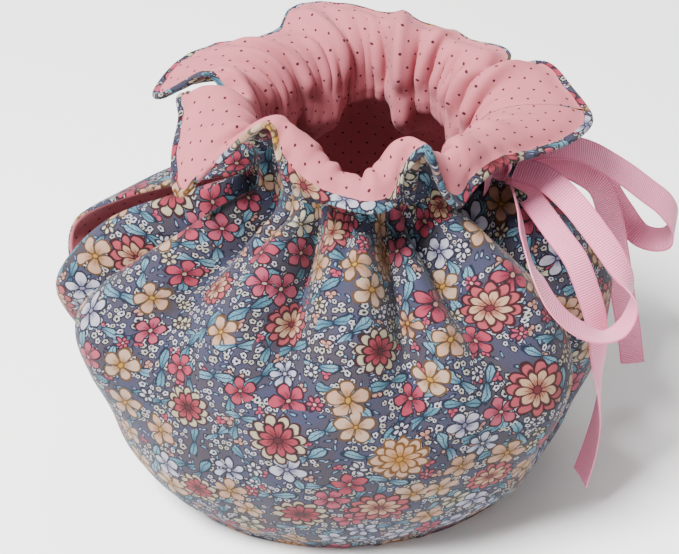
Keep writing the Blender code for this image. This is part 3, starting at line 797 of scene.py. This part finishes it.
# Each motif's dyes, drawn by lot: petals, the veins at their base, outline, and middle
DYES = {
    "slivers": (("#a9aed0", "#5f6d9c", "#22233c", "#2f3050"),
                ("#79a4bd", "#5f6d9c", "#22233c", "#2f3050")),
    "rings": (("#dcd8e2", "#b8b4c6", "#211f33", "#211f33"),
              ("#cfc8bc", "#b8b4c6", "#211f33", "#211f33")),
    "buds": (("#c94f6b", "#8a2844", "#35121f", "#35121f"),
             ("#cf9c8c", "#8a4a3c", "#35121f", "#35121f")),
    "leaves": (("#8db8c9", "#28506e", "#17233a", "#17233a"),
               ("#6d9fb0", "#244a66", "#17233a", "#17233a")),
    "stars": (("#e0dde6", "#8d869c", "#211d31", "#3c3348"),
              ("#dccfae", "#7c6e62", "#2c2430", "#5a4038"),
              ("#c9506c", "#822840", "#3a1526", "#e4b4ac")),
    "sixes": (("#dcd4b8", "#6a5e52", "#29222c", "#a8935c"),
              ("#cfd2e8", "#6c6f94", "#1f1f36", "#b9b4c4"),
              ("#dba58a", "#a0682c", "#59371c", "#cc963a")),
    "fives": (("#c0475f", "#6d1a31", "#330e1d", "#c49a84"),
              ("#d9ab92", "#a06f30", "#62441f", "#c8963a"),
              ("#d6d2e4", "#64658c", "#1f1f36", "#8a86a4"),
              ("#ca5a74", "#7a2239", "#330e1d", "#d8b4a0"),
              ("#dfbaa2", "#a8783a", "#6b4a22", "#c8902f")),
    "outer_rosettes": (("#dfb59c", "#b07c34", "#7a4f1e", "#7a4f1e"),
                       ("#cfc0a2", "#8a5238", "#3c161c", "#3c161c"),
                       ("#c25560", "#7c2130", "#3c121a", "#3c121a")),
    "inner_rosettes": (("#dba884", "#b5781f", "#7d5014", "#c98f2c"),
                       ("#b03f50", "#64141f", "#330d17", "#5c1826"),
                       ("#d9b08e", "#9c4a3c", "#4c1a20", "#7c2a34")),
}


def scattered(tree, motif, place):
    """A motif's nearest scatter point, and the way from it in mm."""
    cell = add(tree, "ShaderNodeTexVoronoi", voronoi_dimensions="2D", wires={
        "Vector": place, "Scale": 1.0 / motif["pitch"], "Randomness": motif["uneven"]})
    return cell, add(tree, VECTOR, place, cell.outputs["Position"], operation="SUBTRACT")


def drawn_by_lot(tree, lot, dyes, kind):
    """One of a motif's dyes, the same all over one flower."""
    steps = add(tree, "ShaderNodeValToRGB", lot)
    ramp = steps.color_ramp
    ramp.interpolation = "CONSTANT"
    for index, dye in enumerate(dyes):
        stop = ramp.elements[index] if index < 2 else ramp.elements.new(0.99)
        stop.position = index / len(dyes)
        stop.color = linear(dye[kind])
    return steps.outputs[0]


def printed(tree, below, name, motif, place, offset, hidden_near=()):
    """Prints one motif over the colour below it, and gives the new colour."""
    place = add(tree, VECTOR, place, offset, operation="ADD")
    cell, way = scattered(tree, motif, place)
    luck = add(tree, "ShaderNodeSeparateColor", cell.outputs["Color"])
    parts = add(tree, "ShaderNodeSeparateXYZ", way)
    far = add(tree, VECTOR, way, operation="LENGTH").outputs["Value"]
    angle = add(tree, MATH, parts.outputs[1], parts.outputs[0], operation="ARCTAN2")
    angle = add(tree, MATH, luck.outputs[0], 2.0 * math.pi, angle, operation="MULTIPLY_ADD")
    count = motif["petals"]
    share = add(tree, MATH, angle, count / (2.0 * math.pi), operation="MULTIPLY")
    share = add(tree, MATH, add(tree, MATH, share, operation="FRACT"), 0.5, operation="SUBTRACT")
    petal = add(tree, MATH, share, 2.0 * math.pi / count, operation="MULTIPLY")
    size = add(tree, MATH, luck.outputs[2], 0.3, 0.82, operation="MULTIPLY_ADD")
    radius = add(tree, MATH, far, size, operation="DIVIDE")
    ahead = add(tree, MATH, radius, add(tree, MATH, petal, operation="COSINE"), operation="MULTIPLY")
    aside = add(tree, MATH, radius, add(tree, MATH, petal, operation="SINE"), operation="MULTIPLY")
    ahead_share = add(tree, MATH, ahead, motif["reach"], operation="SUBTRACT")
    ahead_share = add(tree, MATH, ahead_share, motif["half_length"], operation="DIVIDE")
    tip = motif["reach"] + 0.35 * motif["half_length"]
    width = add(tree, "ShaderNodeMapRange", ahead, 0.0, tip, 1.0 - motif["taper"], 1.0)
    width = add(tree, MATH, width, motif["half_width"], operation="MULTIPLY")
    aside_share = add(tree, MATH, aside, width, operation="DIVIDE")
    both = add(tree, "ShaderNodeCombineXYZ", ahead_share, aside_share)
    shape = add(tree, VECTOR, both, operation="LENGTH").outputs["Value"]

    # Left out: those that the lot leaves out, those outside a cluster, and those too near a larger one
    shown = add(tree, MATH, luck.outputs[1], motif["shown"], operation="LESS_THAN")
    if motif["grouped"] > 0.0:
        cluster = add(tree, "ShaderNodeTexNoise", noise_dimensions="2D", wires={
            "Vector": cell.outputs["Position"], "Scale": 0.09, "Detail": 0.0})
        cluster = add(tree, MATH, cluster.outputs["Fac"], motif["grouped"], operation="GREATER_THAN")
        shown = add(tree, MATH, shown, cluster, operation="MULTIPLY")
    for larger, larger_offset, clear in hidden_near:
        between = tuple(b - a for a, b in zip(offset, larger_offset))
        there = add(tree, VECTOR, cell.outputs["Position"], between, operation="ADD")
        _, gap = scattered(tree, larger, there)
        apart = add(tree, VECTOR, gap, operation="LENGTH").outputs["Value"]
        apart = add(tree, MATH, apart, clear, operation="GREATER_THAN")
        shown = add(tree, MATH, shown, apart, operation="MULTIPLY")

    lot = add(tree, MATH, luck.outputs[1], motif["shown"], operation="DIVIDE")
    dyes = DYES[name]
    by_kind = [drawn_by_lot(tree, lot, dyes, kind) for kind in range(4)]
    petal_dye, vein_dye, outline_dye, middle_dye = by_kind
    edge = motif["outline"] / motif["half_width"]
    inked = add(tree, "ShaderNodeMapRange", shape, 1.0 + 0.8 * edge, 1.0 + 1.5 * edge, 1.0, 0.0)
    inked = add(tree, MATH, inked, shown, operation="MULTIPLY")
    filled = add(tree, "ShaderNodeMapRange", shape, 1.0 - 0.5 * edge, 1.0, 1.0, 0.0)
    filled = add(tree, MATH, filled, shown, operation="MULTIPLY")
    if motif["vein"] > 0.0:
        # Three fine lines run up each petal from its base, and the base itself is inked darker. A
        # leaf has a midrib instead, and side veins that slant away from it.
        from_middle = add(tree, MATH, aside, operation="ABSOLUTE")
        is_leaf = count == 2
        if is_leaf:
            apart = 1.25
            across = add(tree, MATH, from_middle, -1.1, ahead, operation="MULTIPLY_ADD")
        else:
            apart = 0.42 * motif["half_width"]
            across = from_middle
        nearest = add(tree, MATH, across, apart, operation="DIVIDE")
        whole = add(tree, MATH, nearest, operation="ROUND")
        nearest = add(tree, MATH, nearest, whole, operation="SUBTRACT")
        nearest = add(tree, MATH, nearest, operation="ABSOLUTE")
        nearest = add(tree, MATH, nearest, apart, operation="MULTIPLY")
        line = add(tree, "ShaderNodeMapRange", nearest, 0.08, 0.24, 1.0, 0.0)
        top = motif["reach"] + (2.0 * motif["vein"] - 1.0) * motif["half_length"]
        if is_leaf:
            line = add(tree, MATH, line, 0.7, operation="MULTIPLY")
            midrib = add(tree, "ShaderNodeMapRange", from_middle, 0.12, 0.3, 1.0, 0.0)
            line = add(tree, MATH, line, midrib, operation="MAXIMUM")
        else:
            # The outer two lines are shorter, and there are none beyond them.
            height = add(tree, MATH, from_middle, 1.4, ahead, operation="MULTIPLY_ADD")
            base = add(tree, "ShaderNodeMapRange", height, 0.7 * top, top, 1.0, 0.0)
            line = add(tree, MATH, line, base, operation="MULTIPLY")
            inner = add(tree, MATH, from_middle, 1.5 * apart, operation="LESS_THAN")
            line = add(tree, MATH, line, inner, operation="MULTIPLY")
        low = motif["reach"] - 0.75 * motif["half_length"]
        base = add(tree, "ShaderNodeMapRange", ahead, low, low + 0.9 * motif["half_length"], 0.75, 0.0)
        line = add(tree, MATH, line, base, operation="MAXIMUM")
        petal_dye = add(tree, MIX, data_type="RGBA", wires={0: line, 6: petal_dye, 7: vein_dye})
        petal_dye = petal_dye.outputs[2]
    colour = add(tree, MIX, data_type="RGBA", wires={0: inked, 6: below, 7: outline_dye}).outputs[2]
    colour = add(tree, MIX, data_type="RGBA", wires={0: filled, 6: colour, 7: petal_dye}).outputs[2]
    middle = motif["middle"]
    if middle > 0.0:
        ring = add(tree, "ShaderNodeMapRange", radius, middle + 0.2, middle + 0.38, 1.0, 0.0)
        ring = add(tree, MATH, ring, shown, operation="MULTIPLY")
        eye = add(tree, "ShaderNodeMapRange", radius, middle - 0.22, middle - 0.04, 1.0, 0.0)
        eye = add(tree, MATH, eye, shown, operation="MULTIPLY")
        colour = add(tree, MIX, data_type="RGBA", wires={0: ring, 6: colour, 7: outline_dye}).outputs[2]
        colour = add(tree, MIX, data_type="RGBA", wires={0: eye, 6: colour, 7: middle_dye}).outputs[2]
    return colour


def weave(tree, thread):
    """The bump of a plain weave, with threads drawn wide enough to show."""
    place = cloth_place(tree, (0.0, 0.0, 0.0))
    # This texture's bands stand 0.314 / Scale apart.
    bands = [
        add(tree, "ShaderNodeTexWave", wave_type="BANDS", bands_direction=way, wires={
            "Vector": place, "Scale": 0.314 / thread, "Distortion": 0.6, "Detail": 1.0})
        for way in ("X", "Y")
    ]
    return add(tree, MATH, bands[0].outputs["Fac"], bands[1].outputs["Fac"], operation="MULTIPLY")


def worn_shade(tree, colour, dye_strength):
    """Slight unevenness of the dye, a few centimetres across, and finer flecks of the yarn."""
    spot = add(tree, "ShaderNodeTexCoord").outputs["Object"]
    broad = add(tree, "ShaderNodeTexNoise", wires={"Vector": spot, "Scale": 45.0, "Detail": 3.0})
    fleck = add(tree, "ShaderNodeTexNoise", wires={"Vector": spot, "Scale": 1500.0, "Detail": 2.0})
    both = add(tree, MATH, broad.outputs["Fac"], 0.22, 0.81, operation="MULTIPLY_ADD")
    both = add(tree, MATH, fleck.outputs["Fac"], 0.16, both, operation="MULTIPLY_ADD")
    both = add(tree, MATH, both, dye_strength, operation="MULTIPLY")
    return add(tree, VECTOR, colour, operation="SCALE", wires={"Scale": both})


def finish_cloth(material, tree, colour, thread, roughness, sheen, weave_depth):
    """Closes a cotton's material: its weave's bump, its dull surface and its loose fibres."""
    bump = add(tree, "ShaderNodeBump", wires={
        "Height": weave(tree, thread), "Distance": weave_depth * MM, "Strength": 0.6})
    shader = add(tree, "ShaderNodeBsdfPrincipled", wires={
        "Base Color": colour, "Normal": bump, "Roughness": roughness, "Sheen Weight": sheen,
        "Sheen Roughness": 0.5, "Specular IOR Level": 0.2})
    add(tree, "ShaderNodeOutputMaterial", shader)
    return material


def printed_cotton():
    """Printed quilting cotton: a plain weave with a close scatter of small flowers on slate blue.
    It has no gloss, and a faint bloom of loose fibres where it is seen edge on."""
    material, tree = new_material("printed_quilting_cotton")
    spot = cloth_place(tree, (0.0, 0.0, 0.0))
    # The printing roller and the cloth's drag leave every flower slightly out of true.
    drawn = add(tree, "ShaderNodeTexNoise", noise_dimensions="2D", wires={
        "Vector": spot, "Scale": 0.22, "Detail": 1.0})
    spot = add(tree, VECTOR, drawn.outputs["Color"], (1.7, 1.7, 0.0), spot, operation="MULTIPLY_ADD")
    drift = add(tree, "ShaderNodeTexNoise", noise_dimensions="2D", wires={
        "Vector": spot, "Scale": 0.05, "Detail": 2.0})
    ground = add(tree, "ShaderNodeValToRGB", drift.outputs["Fac"])
    ground.color_ramp.elements[0].position = 0.40
    ground.color_ramp.elements[0].color = linear("#4b4c69")
    ground.color_ramp.elements[1].position = 0.60
    ground.color_ramp.elements[1].color = linear("#504854")
    colour = ground.outputs[0]
    kinds = {name: dict(zip(MOTIFS, row)) for name, row in PRINT.items()}
    offsets = {name: (700.0 + 37.0 * k, 600.0 + 53.0 * k, 0.0) for k, name in enumerate(kinds)}
    offsets["inner_rosettes"] = offsets["outer_rosettes"]
    # How far, in mm, a motif's middle keeps from the middle of a larger one
    clear_of = {
        "buds": (("outer_rosettes", 8.0),),
        "leaves": (("outer_rosettes", 8.0),),
        "stars": (("fives", 7.6), ("sixes", 7.4), ("outer_rosettes", 9.8)),
        "sixes": (("fives", 9.0), ("outer_rosettes", 11.5)),
        "fives": (("outer_rosettes", 12.0),),
    }
    for name, motif in kinds.items():
        near = [(kinds[other], offsets[other], gap) for other, gap in clear_of.get(name, ())]
        colour = printed(tree, colour, name, motif, spot, offsets[name], near)
    colour = worn_shade(tree, colour, dye_strength=0.39)
    return finish_cloth(
        material, tree, colour, thread=0.55, roughness=0.86, sheen=0.08, weave_depth=0.12
    )


def dotted_cotton():
    """Plain-woven cotton dyed dusty pink, with pin dots printed in maroon in offset rows."""
    material, tree = new_material("pin_dot_cotton")
    place = cloth_place(tree, (0.0, 0.0, 0.0))
    across, up = 6.4, 4.6  # the dots' pitch along a row and from row to row, in mm
    parts = add(tree, "ShaderNodeSeparateXYZ", place)
    row = add(tree, MATH, parts.outputs[1], up, operation="DIVIDE")
    number = add(tree, MATH, row, operation="FLOOR")
    odd = add(tree, MATH, number, 2.0, operation="FLOORED_MODULO")
    odd = add(tree, MATH, odd, 0.5, operation="MULTIPLY")
    along = add(tree, MATH, parts.outputs[0], across, operation="DIVIDE")
    along = add(tree, MATH, along, odd, operation="ADD")
    x = add(tree, MATH, add(tree, MATH, along, operation="FRACT"), 0.5, operation="SUBTRACT")
    y = add(tree, MATH, add(tree, MATH, row, operation="FRACT"), 0.5, operation="SUBTRACT")
    way = add(tree, "ShaderNodeCombineXYZ", add(tree, MATH, x, across, operation="MULTIPLY"),
              add(tree, MATH, y, up, operation="MULTIPLY"))
    far = add(tree, VECTOR, way, operation="LENGTH").outputs["Value"]
    # A dot is fully dyed to 0.4 mm from its middle, and fades out at 0.56 mm.
    dot = add(tree, "ShaderNodeMapRange", far, 0.4, 0.56, 1.0, 0.0)
    colour = add(tree, MIX, data_type="RGBA", wires={0: dot, 6: linear("#c9707a"), 7: linear("#451022")})
    colour = worn_shade(tree, colour.outputs[2], dye_strength=0.66)
    return finish_cloth(
        material, tree, colour, thread=0.5, roughness=0.82, sheen=0.06, weave_depth=0.1
    )


def grosgrain():
    """Polyester grosgrain ribbon: cross ribs from a thick weft, a smooth edge, and a soft sheen."""
    material, tree = new_material("grosgrain_ribbon")
    place = cloth_place(tree, (0.0, 0.0, 0.0))
    parts = add(tree, "ShaderNodeSeparateXYZ", place)
    rib_pitch = 0.9  # mm
    phase = add(tree, MATH, parts.outputs[1], 2.0 * math.pi / rib_pitch, operation="MULTIPLY")
    rib = add(tree, MATH, add(tree, MATH, phase, operation="SINE"), 0.5, 0.5, operation="MULTIPLY_ADD")
    side = add(tree, MATH, parts.outputs[0], operation="ABSOLUTE")
    # The ribs end at the smooth woven edge, under 1 mm wide.
    inside = add(tree, "ShaderNodeMapRange", side, 4.3, 4.55, 1.0, 0.0)
    rib = add(tree, MATH, rib, inside, operation="MULTIPLY")
    # Each rib's crest takes the lighter pink and its groove the darker one: a painted highlight on the
    # crests and painted shade in the grooves, on top of the ribs' bump.
    colour = add(tree, MIX, data_type="RGBA", wires={0: rib, 6: linear("#cf688a"), 7: linear("#e38fab")})
    colour = worn_shade(tree, colour.outputs[2], dye_strength=1.0)
    bump = add(tree, "ShaderNodeBump", wires={"Height": rib, "Distance": 0.25 * MM, "Strength": 0.7})
    shader = add(tree, "ShaderNodeBsdfPrincipled", wires={
        "Base Color": colour, "Normal": bump, "Roughness": 0.48, "Sheen Weight": 0.2,
        "Specular IOR Level": 0.35})
    add(tree, "ShaderNodeOutputMaterial", shader)
    return material


def plain_floor():
    """Matt pale card, which only takes a soft shadow."""
    material, tree = new_material("pale_card_floor")
    shader = add(tree, "ShaderNodeBsdfPrincipled", wires={
        "Base Color": linear("#f8f8f7"), "Roughness": 0.9, "Specular IOR Level": 0.1})
    add(tree, "ShaderNodeOutputMaterial", shader)
    return material


# ---- Building ------------------------------------------------------------------------------

PRINTED, DOTTED, RIBBON = printed_cotton(), dotted_cotton(), grosgrain()

PANELS = {
    "cosy_front": ("front_panel", 0.0, "spout_gap", "handle_gap", 11),
    "cosy_back": ("back_panel", 180.0, "handle_gap", "spout_gap", 23),
}
for name, (node, centre, low_gap, high_gap, seed) in PANELS.items():
    points, body_rows, thickness, rolled = panel_cloth(centre, low_gap, high_gap, seed)
    charts = [
        (0, relaxed_chart(points[:body_rows])),
        (body_rows - 1, relaxed_chart(points[body_rows - 1 :]) + np.array([0.0, FRILL_CHART_UP])),
    ]
    panel = sheet_object(
        name, points, charts, [PRINTED, DOTTED, PRINTED, PRINTED], thickness, rolled, CLOTH_THICK
    )
    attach(panel, "root")
    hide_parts(node)

RIBBONS = {
    "bow_loop_front": ("ribbon_loop_front", FRONT_LOOP, 0.0),
    "bow_loop_back": ("ribbon_loop_back", BACK_LOOP, 0.0),
    "bow_tail_front": ("ribbon_tail_front", FRONT_TAIL, -2.0),
    "bow_tail_back": ("ribbon_tail_back", BACK_TAIL, 2.0),
    "bow_lead_front": ("ribbon_lead_front", FRONT_LEAD, 0.0),
    "bow_lead_back": ("ribbon_lead_back", BACK_LEAD, 0.0),
}
for name, (node, path, slant) in RIBBONS.items():
    points, chart, length = ribbon_surface(path, slant)
    ribbon = sheet_object(name, points, [(0, chart)], [RIBBON], thick=RIBBON_THICK)
    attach(ribbon, "root")
    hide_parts(node)

knot = bow_knot(RIBBON)
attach(knot, "root")
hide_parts("ribbon_knot")

# ---- Floor, light and camera -----------------------------------------------------------------

plane = bmesh.new()
bmesh.ops.create_grid(plane, x_segments=1, y_segments=1, size=6.0)
mesh = bpy.data.meshes.new("floor")
plane.to_mesh(mesh)
plane.free()
mesh.materials.append(plain_floor())
floor = bpy.data.objects.new("floor", mesh)
bpy.context.scene.collection.objects.link(floor)

world = bpy.data.worlds.new("soft_studio")
world.use_nodes = True
world.node_tree.nodes["Background"].inputs["Color"].default_value = (1.0, 1.0, 1.0, 1.0)
world.node_tree.nodes["Background"].inputs["Strength"].default_value = 0.44
bpy.context.scene.world = world

# One row for each soft light: position and size in metres, power in watts
LIGHTS = {
    "key": ((-0.62, -0.45, 1.25), 0.5, 84.0),
    "fill": ((0.9, -1.0, 0.7), 1.0, 2.0),
    "back": ((0.3, 1.0, 1.1), 0.8, 8.0),
}
LIT = Vector((0.0, 0.0, 0.08))  # what the lights point at
for name, (position, size, power) in LIGHTS.items():
    lamp = bpy.data.lights.new(name, "AREA")
    lamp.energy = power
    lamp.size = size
    light = bpy.data.objects.new(name, lamp)
    light.location = position
    light.rotation_mode = "QUATERNION"
    light.rotation_quaternion = (LIT - light.location).to_track_quat("-Z", "Y")
    bpy.context.scene.collection.objects.link(light)

TARGET = Vector((-0.0128, -0.0002, 0.070))
ELEVATION, DISTANCE = math.radians(37.0), 0.660
camera = bpy.data.objects.new("camera", bpy.data.cameras.new("camera"))
camera.data.sensor_width = 36.0
camera.data.lens = 90.13  # mm
camera.location = TARGET + DISTANCE * Vector((0.0, -math.cos(ELEVATION), math.sin(ELEVATION)))
camera.rotation_mode = "QUATERNION"
camera.rotation_quaternion = (TARGET - camera.location).to_track_quat("-Z", "Y")
bpy.context.scene.collection.objects.link(camera)
bpy.context.scene.camera = camera
